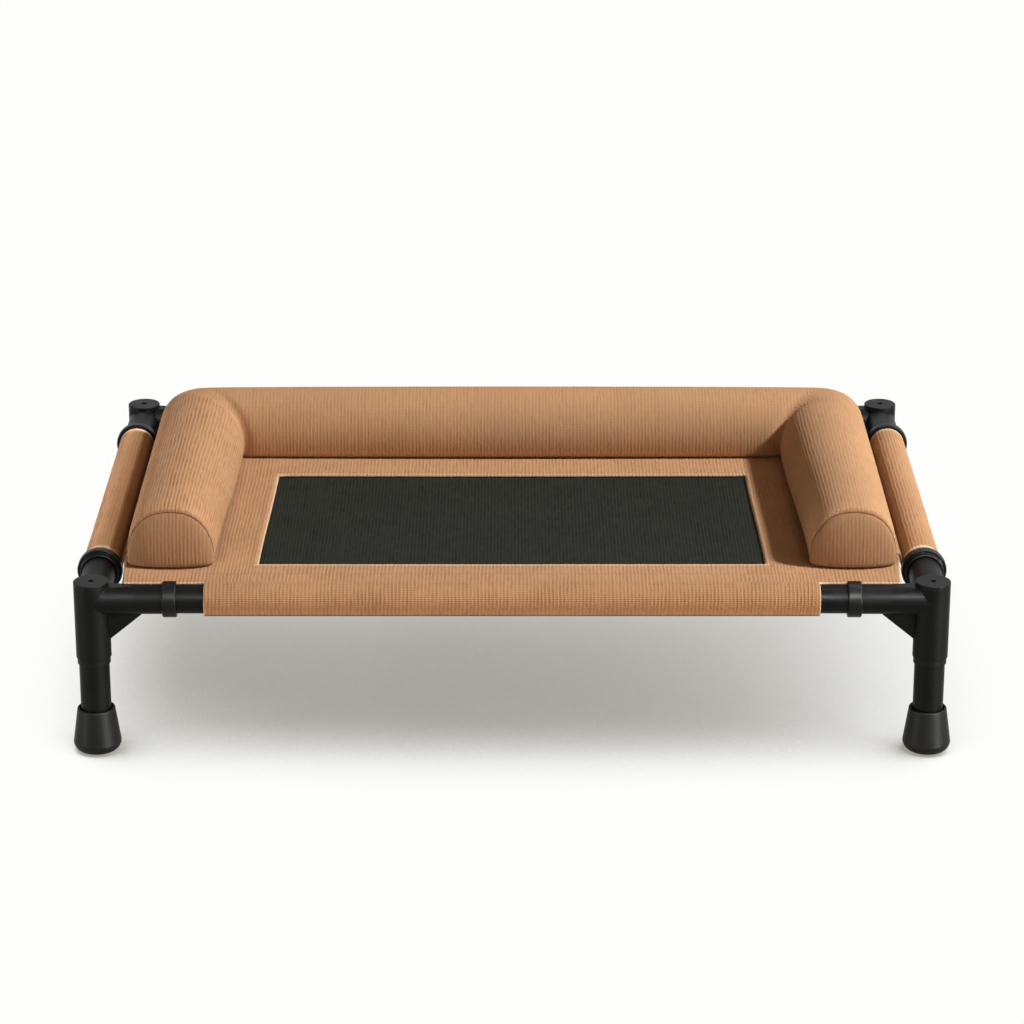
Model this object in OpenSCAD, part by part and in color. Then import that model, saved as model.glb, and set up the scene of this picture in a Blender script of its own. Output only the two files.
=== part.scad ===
// Raised dog cot: a knock-down tube frame on telescopic legs, a sewn deck with a
// mesh window, and a stuffed bolster along the back and both ends.
// Millimetres, +Z up, +Y to the back. The origin is on the floor under the frame's middle.

/* [Frame] */
// Distance between the post axes along the cot
post_spacing_x = 878; // [700:1:1200]
// Distance between the post axes across the cot
post_spacing_y = 574; // [500:1:900]
// Height of the post tops above the floor, with the legs as set
frame_height = 191; // [180:1:260]
// Drop from the post tops to the rail axes
rail_drop = 20.5; // [20.5:0.5:28]

/* [Corner posts] */
// Outside diameter of a post
post_od = 37; // [35:0.5:42]
// Wall of a post
post_wall = 1.4; // [1:0.1:2]
// Height of a post, cap included
post_height = 85; // [80:1:95]
// Chamfer round the mouth of a post
post_chamfer = 1; // [0.4:0.1:1.2]
// Thickness of the cap that closes a post
cap_thick = 3; // [2:0.5:3]
// Depth of the cap's plug in the post
cap_plug = 5; // [3:0.5:8]
// Diameter of the hole in the middle of a cap
cap_hole = 6.5; // [4:0.5:10]

/* [Arms, gussets and collars] */
// Outside diameter of the arms that carry the long rails
long_arm_od = 31; // [29:0.5:33]
// Outside diameter of the arms that carry the side rails
side_arm_od = 35; // [32:0.5:35]
// Length over which a long rail's arm widens to the width of its post
arm_root = 45; // [30:1:55]
// Distance from a post axis to the face where an arm meets its rail
arm_reach = 78; // [60:1:90]
// Length of the spigot that plugs into a rail
spigot_length = 32; // [24:1:60]
// Wall of a spigot
spigot_wall = 2.5; // [2:0.1:4]
// Run of a gusset along its arm, from the post
gusset_run = 34; // [20:1:45]
// Drop of a gusset down its post, from the arm
gusset_drop = 28; // [18:1:40]
// Thickness of a gusset
gusset_thick = 6; // [4:0.5:10]
// Outside diameter of a long rail's collar
long_collar_od = 38; // [37:0.5:40]
// Outside diameter of a side rail's collar at its flange
side_collar_od = 48; // [44:0.5:52]
// Outside diameter of a side rail's collar at its step
side_collar_step_od = 41; // [40:0.5:43]
// Length of the step along the rail
side_collar_step = 5.5; // [4:0.5:6.5]
// Width of a collar along its rail
collar_width = 14.5; // [13:0.5:18]
// How far a collar covers the arm
collar_on_arm = 3.5; // [2:0.5:4.5]

/* [Rails] */
// Outside diameter of the front and back rails
long_rail_od = 30; // [28:0.5:30]
// Outside diameter of the side rails
side_rail_od = 34; // [32:0.5:34]
// Wall of a rail
rail_wall = 1.5; // [1:0.1:2]

/* [Legs and feet] */
// Outside diameter of a leg
leg_od = 32; // [29:0.5:32]
// Wall of a leg
leg_wall = 1.5; // [1:0.1:2]
// How far a leg's tube reaches up into its post
leg_insert = 36; // [34:0.5:44]
// Depth of the guide bush in the post
bush_depth = 20; // [18:0.5:22]
// Length of the bush that shows below the post
bush_lip = 6; // [3:0.5:8]
// Step of the bush's lip past the mouth of the post, on the radius
bush_step = 0.3; // [0.2:0.1:0.5]
// Slit that lets the bush close on the leg
bush_slit = 2; // [1:0.5:3]
// Height of the glide's head on top of a leg
glide_head = 8; // [6:0.5:10]
// Depth of the glide's plug in a leg
glide_plug = 12; // [8:0.5:20]
// Height of a rubber foot
foot_height = 48.5; // [40:0.5:52]
// Widest diameter of a foot
foot_od = 50.5; // [46:0.5:60]
// Diameter of a foot at its rim
foot_rim_od = 40; // [39:0.5:44]
// Rounding of a foot's lower edge
foot_round = 10.5; // [6:0.5:12]
// Rounding of a foot's rim
foot_rim_round = 1.5; // [1:0.1:1.5]
// Gap that a foot's mouth leaves round its leg
foot_mouth = 1.8; // [0.8:0.1:1.8]
// Depth to which the mouth narrows
foot_mouth_depth = 8; // [4:0.5:12]
// Thickness of rubber under a leg
foot_floor = 12; // [8:0.5:16]

/* [Fasteners] */
// Diameter of the screws that hold the rails
rail_screw_d = 4; // [3:0.5:5]
// Length of such a screw under its head
rail_screw_length = 9; // [8:0.5:10]
// Diameter of its head
rail_screw_head_d = 7.5; // [6.5:0.5:9]
// Height of its head
rail_screw_head = 2; // [1.5:0.1:2.2]
// Distance from a rail's end to its screw
rail_screw_inset = 6; // [5:0.5:7]
// Diameter of the screws that lock the legs
lock_screw_d = 6; // [5:0.5:8]
// Length of a lock screw
lock_screw_length = 6; // [5.5:0.5:8]
// Width across the flats of a lock screw's socket
lock_screw_socket = 3; // [2:0.5:4]
// Diameter of the boss that a lock screw turns in
lock_boss_d = 12; // [10:0.5:16]
// How far that boss stands out of its post
lock_boss_out = 3.5; // [2:0.5:4]

/* [Deck] */
// Outside diameter of the hemmed sleeves round the front and back rails
long_sleeve_od = 35.5; // [35:0.5:37]
// Outside diameter of the hemmed sleeves round the side rails
side_sleeve_od = 40; // [38:0.5:42]
// Bare length between a post axis and a front or back sleeve
long_sleeve_inset = 118; // [100:1:160]
// Thickness of the hemmed deck cloth
deck_thick = 2.4; // [1.5:0.1:2.6]
// Distance from a side rail's axis to the free edge of the deck's corner
corner_edge_x = 32; // [30:1:45]
// Distance from a long rail's axis to the free edge of the deck's corner
corner_edge_y = 12; // [12:0.5:30]
// Length of the mesh window along the cot
window_x = 530; // [400:1:560]
// Width of the mesh window across the cot
window_y = 276; // [200:1:300]
// Distance from the front rail's axis to the mesh window
window_inset = 56; // [40:1:80]
// Width of the hem that the mesh is sewn under
window_hem = 12; // [8:1:18]
// Thickness of the mesh
mesh_thick = 1; // [0.6:0.1:1.5]

/* [Bolster] */
// Radius of the bolster's roll
roll_r = 49; // [42:0.5:56]
// Height of the roll's axis above the deck
roll_axis_height = 20; // [14:0.5:26]
// How far the back roll swells at its middle
roll_swell = 1.5; // [0:0.1:3]
// How far an end roll draws in at its front seam
seam_draw = 3; // [1:0.1:5]
// Length over which it draws in
seam_draw_length = 60; // [30:1:120]
// How far the front panel of an end roll bulges
panel_bulge = 12; // [4:0.5:16]
// Thickness of the bolster's cover
cover_thick = 2; // [1:0.1:3]
// Distance from a side rail's axis to the axis of an end roll
end_roll_inset = 79; // [78:1:110]
// Distance from the back rail's axis to the axis of the back roll
back_roll_inset = 142; // [90:1:160]
// Distance from the front rail's axis to the front seam of an end roll
front_seam_inset = 52; // [40:1:90]
// Rounding of the bolster's two outer corners, seen from above
corner_round = 30; // [15:1:40]

/* [Hidden] */
$fn = 96;
// Clearance on the radius of a fixed fit
fit_clear = 0.1;
// Clearance on the radius between a leg and its bush
slide_clear = 0.1;
// Clearance on the radius round a screw
screw_clear = 0.2;
// Gap at a sewn or butted edge
seam_gap = 0.2;
// Step between a post and the widest part of an arm's root
root_step = 0.2;
// How far a cutting shape runs past what it cuts
past = 1;
// Points along a curve that is drawn as short lines
curve_steps = 10;

frame_black = "#1d1d1c";
plastic_black = "#232322";
rubber_black = "#262625";
screw_steel = "#4a4a4a";
tan_cloth = "#be916b";
mesh_grey = "#32332d";
fill_white = "#ece8de";

half_x = post_spacing_x / 2;
half_y = post_spacing_y / 2;
rail_z = frame_height - rail_drop;
mouth_z = frame_height - post_height;
post_top_z = frame_height - cap_thick;
post_bore_r = post_od / 2 - post_wall;
post_fit_r = post_bore_r - fit_clear;
bush_bore_r = leg_od / 2 + slide_clear;
leg_top_z = mouth_z + leg_insert;
foot_r = foot_od / 2;
lock_z = mouth_z + bush_depth / 2;
rail_end = arm_reach + fit_clear;
collar_start = arm_reach - collar_on_arm;
collar_end = collar_start + collar_width;
screw_at = rail_end + rail_screw_inset;
long_sleeve_half = half_x - long_sleeve_inset;
side_sleeve_half = half_y - collar_end - seam_gap;
deck_top = rail_z + long_sleeve_od / 2;
deck_bottom = deck_top - deck_thick;
window_front = -half_y + window_inset;
window_mid = window_front + window_y / 2;
roll_z = deck_top + roll_axis_height;
end_roll_x = half_x - end_roll_inset;
back_roll_y = half_y - back_roll_inset;
front_seam_y = -half_y + front_seam_inset;
end_roll_length = back_roll_y + roll_r - front_seam_y;
seam_r = roll_r - seam_draw;
fill_gap = cover_thick + seam_gap;

// Each corner is a name and the signs of its X and Y.
CORNERS = [["front_left", -1, -1], ["front_right", 1, -1], ["back_left", -1, 1], ["back_right", 1, 1]];
CORNER_PARTS = ["corner_fitting", "post_cap", "guide_bush", "leg_tube", "leg_glide", "rubber_foot"];
ENDS = [["left", -1], ["right", 1]];
LONG_SIDES = [["front", -1], ["back", 1]];

function side_name(c) = c[2] < 0 ? "front" : "back";
function end_name(c) = c[1] < 0 ? "left" : "right";
function long_collar_name(c) = str(side_name(c), "_rail_collar_", end_name(c));
function side_collar_name(c) = str(end_name(c), "_rail_collar_", side_name(c));

// Points along an arc, angles in degrees.
function arc(centre, r, from, to) = [
    for (i = [0 : curve_steps])
        let (a = from + (to - from) * i / curve_steps) centre + r * [cos(a), sin(a)]
];

// Puts a corner's parts, drawn with the rails leaving along +X and +Y, at that corner.
module at_corner(c) {
    translate([c[1] * half_x, c[2] * half_y, 0])
        mirror([c[1] > 0 ? 1 : 0, 0, 0])
            mirror([0, c[2] > 0 ? 1 : 0, 0])
                children();
}

// Turns what is drawn along +Z to lie along +X, or along +Y, at the height of the rails.
module along_x() {
    translate([0, 0, rail_z]) rotate([0, 90, 0]) children();
}

module along_y() {
    translate([0, 0, rail_z]) rotate([-90, 0, 0]) children();
}

// A round hole or pin that points down from a rail's axis, at a distance along the rail.
module down_x(distance) {
    translate([distance, 0, rail_z]) rotate([180, 0, 0]) children();
}

module down_y(distance) {
    translate([0, distance, rail_z]) rotate([180, 0, 0]) children();
}

// Turns what is drawn along +Z to point out of a post where its lock screw is.
module at_lock() {
    translate([0, 0, lock_z]) rotate([-90, 0, 0]) children();
}

function rail_bore(od) = od - 2 * rail_wall;
function spigot_od(od) = rail_bore(od) - 2 * fit_clear;

// An arm with the spigot on its end, drawn along +Z.
module arm(od, rail_od) {
    cylinder(d = od, h = arm_reach);
    cylinder(d = spigot_od(rail_od), h = arm_reach + spigot_length);
}

// The root of a long rail's arm, drawn along +Z: as wide as its post but no taller than the arm.
module arm_root_flare() {
    intersection() {
        cylinder(r1 = post_od / 2 - root_step, r2 = long_arm_od / 2, h = arm_root);
        translate([-long_arm_od / 2, -post_od / 2, 0]) cube([long_arm_od, post_od, arm_root]);
    }
}

// The hollow inside an arm and its spigot.
module arm_hollow(rail_od) {
    translate([0, 0, post_od / 2])
        cylinder(d = spigot_od(rail_od) - 2 * spigot_wall, h = arm_reach + spigot_length);
}

module screw_hole() {
    cylinder(d = rail_screw_d + 2 * screw_clear, h = post_od);
}

module gusset() {
    arm_under = rail_z - long_arm_od / 2;
    rotate([90, 0, 0])
        linear_extrude(gusset_thick, center = true)
            polygon([
                [0, rail_z],
                [post_od / 2 + gusset_run, rail_z],
                [post_od / 2 + gusset_run, arm_under],
                [post_od / 2, arm_under - gusset_drop],
                [0, arm_under - gusset_drop]
            ]);
}

module post() {
    rotate_extrude()
        polygon([
            [0, mouth_z],
            [post_od / 2 - post_chamfer, mouth_z],
            [post_od / 2, mouth_z + post_chamfer],
            [post_od / 2, post_top_z],
            [0, post_top_z]
        ]);
}

module corner_fitting() {
    color(frame_black)
        difference() {
            union() {
                post();
                along_x() arm(long_arm_od, long_rail_od);
                along_x() arm_root_flare();
                along_y() arm(side_arm_od, side_rail_od);
                gusset();
                at_lock() cylinder(d = lock_boss_d, h = post_od / 2 + lock_boss_out);
            }
            translate([0, 0, mouth_z - past]) cylinder(r = post_bore_r, h = post_height + past);
            along_x() arm_hollow(long_rail_od);
            along_y() arm_hollow(side_rail_od);
            down_x(screw_at) screw_hole();
            down_y(screw_at) screw_hole();
            at_lock() cylinder(d = lock_screw_d + 2 * fit_clear, h = post_od);
        }
}

module post_cap() {
    edge = cap_thick / 5;
    color(plastic_black)
        rotate_extrude()
            polygon([
                [cap_hole / 2, post_top_z - cap_plug],
                [post_fit_r, post_top_z - cap_plug],
                [post_fit_r, post_top_z],
                [post_od / 2, post_top_z],
                [post_od / 2, frame_height - edge],
                [post_od / 2 - edge, frame_height],
                [cap_hole / 2, frame_height]
            ]);
}

module guide_bush() {
    color(plastic_black)
        difference() {
            rotate_extrude()
                polygon([
                    [bush_bore_r, mouth_z - bush_lip],
                    [post_bore_r + bush_step, mouth_z - bush_lip],
                    [post_bore_r + bush_step, mouth_z],
                    [post_fit_r, mouth_z],
                    [post_fit_r, mouth_z + bush_depth],
                    [bush_bore_r, mouth_z + bush_depth]
                ]);
            rotate([0, 0, 45])
                translate([0, -bush_slit / 2, mouth_z - bush_lip - past])
                    cube([post_od, bush_slit, bush_lip + bush_depth + 2 * past]);
        }
}

module leg_tube() {
    color(frame_black)
        translate([0, 0, foot_floor])
            difference() {
                cylinder(d = leg_od, h = leg_top_z - foot_floor);
                translate([0, 0, -past])
                    cylinder(d = leg_od - 2 * leg_wall, h = leg_top_z - foot_floor + 2 * past);
            }
}

// The glide plugs the top of a leg, runs in the post and stops the leg at its bush.
module leg_glide() {
    color(plastic_black)
        translate([0, 0, leg_top_z]) {
            cylinder(r = post_fit_r, h = glide_head);
            translate([0, 0, -glide_plug])
                cylinder(r = leg_od / 2 - leg_wall - fit_clear, h = glide_plug);
        }
}

module rubber_foot() {
    bore_r = leg_od / 2 + fit_clear;
    rim_r = foot_rim_od / 2;
    color(rubber_black)
        rotate_extrude()
            polygon(concat(
                [[0, 0]],
                arc([foot_r - foot_round, foot_round], foot_round, -90, 0),
                arc([rim_r - foot_rim_round, foot_height - foot_rim_round], foot_rim_round, 0, 90),
                [
                    [bore_r + foot_mouth, foot_height],
                    [bore_r, foot_height - foot_mouth_depth],
                    [bore_r, foot_floor],
                    [0, foot_floor]
                ]
            ));
}

// A rail drawn along +Z from its middle, with a screw hole near each end on its underside.
module rail_tube(od, half_length) {
    difference() {
        cylinder(d = od, h = 2 * half_length, center = true);
        cylinder(d = rail_bore(od), h = 2 * half_length + 2 * past, center = true);
    }
}

module long_rail(side) {
    color(frame_black)
        translate([0, side * half_y, 0])
            difference() {
                along_x() rail_tube(long_rail_od, half_x - rail_end);
                for (end = [-1, 1]) down_x(end * (half_x - screw_at)) screw_hole();
            }
}

module side_rail(end) {
    color(frame_black)
        translate([end * half_x, 0, 0])
            difference() {
                along_y() rail_tube(side_rail_od, half_y - rail_end);
                for (side = [-1, 1]) down_y(side * (half_y - screw_at)) screw_hole();
            }
}

// The bore of a collar is stepped: wide on the arm, close on the rail.
function collar_bore(arm_od, rail_od) = [
    [rail_od / 2 + fit_clear, collar_end],
    [rail_od / 2 + fit_clear, arm_reach],
    [arm_od / 2 + fit_clear, arm_reach],
    [arm_od / 2 + fit_clear, collar_start]
];

// The seat that sinks a screw's head into a collar of a given radius.
module screw_seat(collar_r) {
    translate([0, 0, collar_r - rail_screw_head])
        cylinder(d = rail_screw_head_d + 2 * screw_clear, h = post_od);
}

module long_collar() {
    r = long_collar_od / 2;
    edge = (r - long_arm_od / 2) / 4;
    color(plastic_black)
        difference() {
            along_x()
                rotate_extrude()
                    polygon(concat(
                        [
                            [r - edge, collar_start],
                            [r, collar_start + edge],
                            [r, collar_end - edge],
                            [r - edge, collar_end]
                        ],
                        collar_bore(long_arm_od, long_rail_od)
                    ));
            down_x(screw_at) {
                screw_hole();
                screw_seat(r);
            }
        }
}

module side_collar() {
    r = side_collar_od / 2;
    step_r = side_collar_step_od / 2;
    edge = (step_r - side_arm_od / 2) / 4;
    color(plastic_black)
        difference() {
            along_y()
                rotate_extrude()
                    polygon(concat(
                        [
                            [step_r - edge, collar_start],
                            [step_r, collar_start + edge],
                            [step_r, collar_start + side_collar_step],
                            [r - edge, collar_start + side_collar_step],
                            [r, collar_start + side_collar_step + edge],
                            [r, collar_end - edge],
                            [r - edge, collar_end]
                        ],
                        collar_bore(side_arm_od, side_rail_od)
                    ));
            down_y(screw_at) {
                screw_hole();
                screw_seat(r);
            }
        }
}

// A pan-head screw whose head is sunk flush with the outside of a collar.
module rail_screw(collar_r) {
    seat = collar_r - rail_screw_head;
    translate([0, 0, seat]) cylinder(d = rail_screw_head_d, h = rail_screw_head);
    translate([0, 0, seat - rail_screw_length]) cylinder(d = rail_screw_d, h = rail_screw_length);
}

module rail_screws() {
    color(screw_steel)
        for (c = CORNERS)
            at_corner(c) {
                down_x(screw_at) rail_screw(long_collar_od / 2);
                down_y(screw_at) rail_screw(side_collar_od / 2);
            }
}

module leg_lock_screws() {
    color(screw_steel)
        for (c = CORNERS)
            at_corner(c)
                at_lock()
                    translate([0, 0, post_bore_r])
                        difference() {
                            cylinder(d = lock_screw_d, h = lock_screw_length);
                            translate([0, 0, lock_screw_length / 2])
                                cylinder(d = lock_screw_socket / cos(30), h = lock_screw_length, $fn = 6);
                        }
}

// A hemmed sleeve drawn along +Z from its middle.
module sleeve_tube(od, rail_od, half_length) {
    difference() {
        cylinder(d = od, h = 2 * half_length, center = true);
        cylinder(d = rail_od + 2 * seam_gap, h = 2 * half_length + 2 * past, center = true);
    }
}

module long_sleeve(side) {
    color(tan_cloth)
        translate([0, side * half_y, 0])
            along_x() sleeve_tube(long_sleeve_od, long_rail_od, long_sleeve_half);
}

module side_sleeve(end) {
    color(tan_cloth)
        translate([end * half_x, 0, 0])
            along_y() sleeve_tube(side_sleeve_od, side_rail_od, side_sleeve_half);
}

module deck_outline() {
    difference() {
        union() {
            square([2 * (half_x - corner_edge_x), 2 * (half_y - corner_edge_y)], center = true);
            square([2 * long_sleeve_half, 2 * half_y], center = true);
            square([2 * half_x, 2 * side_sleeve_half], center = true);
        }
        translate([0, window_mid]) square([window_x, window_y], center = true);
    }
}

// The room that a sleeve takes, drawn along +Z from its middle.
module sleeve_room(od, half_length) {
    cylinder(d = od + 2 * seam_gap, h = 2 * half_length + past, center = true);
}

// The deck stops where it runs on into each sleeve.
module deck_border() {
    color(tan_cloth)
        difference() {
            translate([0, 0, deck_bottom]) linear_extrude(deck_thick) deck_outline();
            for (side = [-1, 1])
                translate([0, side * half_y, 0])
                    along_x() sleeve_room(long_sleeve_od, long_sleeve_half);
            for (end = [-1, 1])
                translate([end * half_x, 0, 0])
                    along_y() sleeve_room(side_sleeve_od, side_sleeve_half);
        }
}

module mesh_panel() {
    color(mesh_grey)
        translate([0, window_mid, deck_bottom - mesh_thick])
            linear_extrude(mesh_thick)
                square([window_x + 2 * window_hem, window_y + 2 * window_hem], center = true);
}

// Everything above the deck, as a block that the rolls are cut with.
module above_deck() {
    translate([-post_spacing_x, -post_spacing_y, deck_top])
        cube([2 * post_spacing_x, 2 * post_spacing_y, post_spacing_y]);
}

// Radius of an end roll at a distance behind its front seam.
function end_roll_r(distance) = roll_r - seam_draw * pow(max(0, 1 - distance / seam_draw_length), 3);

// Radius of the back roll at a distance from its middle.
function back_roll_r(distance) =
    let (reach = end_roll_x - roll_r)
        roll_r + roll_swell * pow(cos(90 * min(1, abs(distance) / reach)), 2);

// An end roll on the +X side, thinner all round by inset, that starts ahead of its seam by lead.
module end_roll(inset, lead = 0) {
    drawn = [for (i = [0 : curve_steps]) seam_draw_length * i / curve_steps];
    translate([end_roll_x, front_seam_y, roll_z])
        rotate([-90, 0, 0])
            rotate_extrude()
                polygon(concat(
                    [[0, -lead], [seam_r - inset, -lead]],
                    [for (d = drawn) if (lead > 0 || d > 0) [end_roll_r(d) - inset, d]],
                    [[roll_r - inset, end_roll_length + lead], [0, end_roll_length + lead]]
                ));
}

// The back roll, thinner all round by inset, that runs past its corners by lead.
module back_roll(inset, lead = 0) {
    reach = end_roll_x + roll_r + lead;
    steps = 2 * curve_steps;
    translate([0, back_roll_y, roll_z])
        rotate([0, 90, 0])
            rotate_extrude()
                polygon(concat(
                    [[0, -reach]],
                    [for (i = [-steps : steps]) let (d = reach * i / steps) [back_roll_r(d) - inset, d]],
                    [[0, reach]]
                ));
}

// Half of space at a back corner's mitre on the +X side: 1 is the back roll's half, -1 the end roll's.
module mitre_half(half) {
    reach = 2 * post_spacing_y;
    translate([end_roll_x, back_roll_y, deck_top - past])
        rotate([0, 0, 45])
            translate([-reach / 2, half > 0 ? 0 : -reach, 0])
                cube([reach, reach, reach]);
}

// What rounding takes off an outer corner of the bolster on the +X side, deeper by inset.
module corner_waste(inset) {
    translate([end_roll_x + roll_r - corner_round, back_roll_y + roll_r - corner_round, deck_top - past])
        linear_extrude(4 * roll_r)
            difference() {
                square(roll_r);
                circle(corner_round - inset);
            }
}

// An end roll cut flat on the deck, along its mitre and round its outer corner.
module trimmed_end_roll(inset) {
    intersection() {
        difference() {
            end_roll(inset);
            translate([0, -seam_gap, 0]) mitre_half(1);
            corner_waste(inset);
        }
        above_deck();
    }
}

module trimmed_back_roll(inset) {
    intersection() {
        difference() {
            back_roll(inset);
            for (end = [-1, 1])
                at_end(end) {
                    mitre_half(-1);
                    corner_waste(inset);
                }
        }
        above_deck();
    }
}

// Draws the +X end's parts at either end.
module at_end(end) {
    mirror([end < 0 ? 1 : 0, 0, 0]) children();
}

module end_bolster_cover() {
    color(tan_cloth)
        difference() {
            trimmed_end_roll(0);
            difference() {
                end_roll(cover_thick, past);
                corner_waste(cover_thick);
            }
        }
}

module end_bolster_fill() {
    color(fill_white) trimmed_end_roll(fill_gap);
}

module end_bolster_panel() {
    dome_r = (pow(seam_r, 2) + pow(panel_bulge, 2)) / (2 * panel_bulge);
    dome_angle = asin(seam_r / dome_r);
    color(tan_cloth)
        intersection() {
            translate([end_roll_x, front_seam_y - seam_gap, roll_z])
                rotate([90, 0, 0])
                    rotate_extrude()
                        polygon(concat(
                            arc([0, panel_bulge - dome_r], dome_r, 90 - dome_angle, 90),
                            [[0, panel_bulge - cover_thick], [seam_r - cover_thick, 0]]
                        ));
            above_deck();
        }
}

module back_bolster_cover() {
    color(tan_cloth)
        difference() {
            trimmed_back_roll(0);
            difference() {
                back_roll(cover_thick, past);
                for (end = [-1, 1]) at_end(end) corner_waste(cover_thick);
            }
        }
}

module back_bolster_fill() {
    color(fill_white) trimmed_back_roll(fill_gap);
}

for (c = CORNERS) {
    at_corner(c) corner_fitting();
    at_corner(c) post_cap();
    at_corner(c) guide_bush();
    at_corner(c) leg_tube();
    at_corner(c) leg_glide();
    at_corner(c) rubber_foot();
    at_corner(c) long_collar();
    at_corner(c) side_collar();
}

for (s = LONG_SIDES) {
    long_rail(s[1]);
    long_sleeve(s[1]);
}

for (e = ENDS) {
    side_rail(e[1]);
    side_sleeve(e[1]);
    at_end(e[1]) end_bolster_cover();
    at_end(e[1]) end_bolster_panel();
    at_end(e[1]) end_bolster_fill();
}

rail_screws();
leg_lock_screws();
deck_border();
mesh_panel();
back_bolster_cover();
back_bolster_fill();
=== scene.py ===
# %% [markdown]
# # Dressing a raised dog cot
#
# The cot is a black tube frame on four telescopic legs. A tan cloth is stretched over the rails, with a
# dark mesh window in its middle and a stuffed bolster along the back and both ends. The rigid pieces come
# from the CAD frame and keep their shape. This lesson makes the sewn pieces as real cloth and gives every
# surface a finish.

# %% Load the frame
import math

import bpy
import numpy as np
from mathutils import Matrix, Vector


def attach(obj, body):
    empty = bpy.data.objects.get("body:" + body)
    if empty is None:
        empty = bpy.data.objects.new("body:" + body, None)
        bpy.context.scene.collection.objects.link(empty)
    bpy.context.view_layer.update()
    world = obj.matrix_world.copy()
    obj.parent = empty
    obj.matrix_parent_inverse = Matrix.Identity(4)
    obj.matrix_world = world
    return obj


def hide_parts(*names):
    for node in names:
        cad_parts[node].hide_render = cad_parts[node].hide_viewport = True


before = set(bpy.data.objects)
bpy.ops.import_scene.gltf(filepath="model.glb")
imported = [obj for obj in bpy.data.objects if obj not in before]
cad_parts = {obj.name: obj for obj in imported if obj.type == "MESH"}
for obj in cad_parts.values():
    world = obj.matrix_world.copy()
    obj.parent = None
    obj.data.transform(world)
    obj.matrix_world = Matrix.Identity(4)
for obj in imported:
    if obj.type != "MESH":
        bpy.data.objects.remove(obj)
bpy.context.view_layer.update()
MM = 0.001

# %% [markdown]
# ## Camera
#
# The camera could be placed by eye. Here it was solved from the post caps and feet in the photograph, so
# the two pictures can be laid over each other. It stands well back with a long lens and looks down at the
# open front.

# %% Camera at the photograph's angle
CAMERA_PLACE = (0, -3.726, 1.5555)
DEGREES_DOWN = 20.53
SENSOR_WIDTH = 36
LENS = 124.8
scene = bpy.context.scene
scene.view_settings.view_transform = "Standard"


def put_in_scene(name, data):
    """A new object of the scene, with this data."""
    made = bpy.data.objects.new(name, data)
    scene.collection.objects.link(made)
    return made


camera = put_in_scene("camera", bpy.data.cameras.new("camera"))
camera.data.sensor_width = SENSOR_WIDTH
camera.data.lens = LENS
camera.location = CAMERA_PLACE
camera.rotation_euler = (math.radians(90 - DEGREES_DOWN), 0, 0)
scene.camera = camera
print("camera", [round(v, 3) for v in camera.location], "lens", round(camera.data.lens, 1))

# %% [markdown]
# ## Small helpers for finishes
#
# Every finish below is a tree of shader nodes. One function adds any node, sets it up and links it, and a
# few short ones use it for the nodes that come up again and again. Another turns the colours that we read
# as hex into the linear values that a renderer works with.

# %% Colour and node helpers
def linear(code):
    """An sRGB hex colour as linear red, green, blue and alpha."""
    parts = [int(code[i:i + 2], 16) / 255 for i in (0, 2, 4)]
    return [c / 12.92 if c <= 0.04045 else ((c + 0.055) / 1.055) ** 2.4 for c in parts] + [1.0]


def add(tree, kind, inputs=None, **settings):
    """Adds a node, sets its properties, then fills or links its inputs by name or number."""
    node = tree.nodes.new(kind)
    for name, value in settings.items():
        setattr(node, name, value)
    for key, value in (inputs or {}).items():
        if isinstance(value, bpy.types.NodeSocket):
            tree.links.new(value, node.inputs[key])
        else:
            node.inputs[key].default_value = value
    return node


def calc(tree, operation, *values, clamp=False):
    """One sum on numbers or sockets."""
    inputs = dict(enumerate(values))
    return add(tree, "ShaderNodeMath", inputs, operation=operation, use_clamp=clamp).outputs[0]


def remap(tree, value, given, wanted, curve="LINEAR"):
    """A value carried from one range to another and kept inside it."""
    inputs = {0: value, 1: given[0], 2: given[1], 3: wanted[0], 4: wanted[1]}
    return add(tree, "ShaderNodeMapRange", inputs, interpolation_type=curve).outputs[0]


def noise(tree, where, scale, detail, rough=0.5):
    """Soft random patches from 0 to 1, about one over the scale in size."""
    inputs = {"Vector": where, "Scale": scale, "Detail": detail, "Roughness": rough}
    return add(tree, "ShaderNodeTexNoise", inputs).outputs["Fac"]


def between(tree, share, first, second):
    """A colour between two others."""
    return add(tree, "ShaderNodeMix", {0: share, 6: first, 7: second}, data_type="RGBA").outputs[2]


def finish_named(name, **sockets):
    """An empty finish: its material, its node tree and its main shader."""
    material = bpy.data.materials.new(name)
    material.use_nodes = True
    tree = material.node_tree
    tree.nodes.clear()
    shader = add(tree, "ShaderNodeBsdfPrincipled", {k.replace("_", " "): v for k, v in sockets.items()})
    add(tree, "ShaderNodeOutputMaterial", {"Surface": shader.outputs["BSDF"]})
    return material, tree, shader


print("tan yarn in linear values:", [round(c, 3) for c in linear("C59E7B")[:3]])

# %% [markdown]
# ## Floor, light and background
#
# The photograph is a studio shot on white paper: one lamp high on the right gives the arms their soft-edged
# shadows, and a bright room fills the rest. A wide disc eight metres away stands for the lamp, so the right
# arm is a little brighter than the left one, and the world stands for the room. The lamp can't reach the
# left side, so a low card lightens it and a narrow gridded lamp lights the outer half of its sleeve. Four
# strip lamps, set to show only as reflections, draw the soft pale bands along the black tubes. The paper
# glows white to the camera, and a painted shadow darkens it only where the cot shuts off the light, toned
# by how open each point is.

# %% World and lamps
def seen_directly(tree):
    """1 for a ray from the camera, a mirror or something clear, else 0."""
    ray = add(tree, "ShaderNodeLightPath")
    looks = calc(tree, "MAXIMUM", ray.outputs["Is Camera Ray"], ray.outputs["Is Glossy Ray"])
    return calc(tree, "MAXIMUM", looks, ray.outputs["Is Transmission Ray"])


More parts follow.
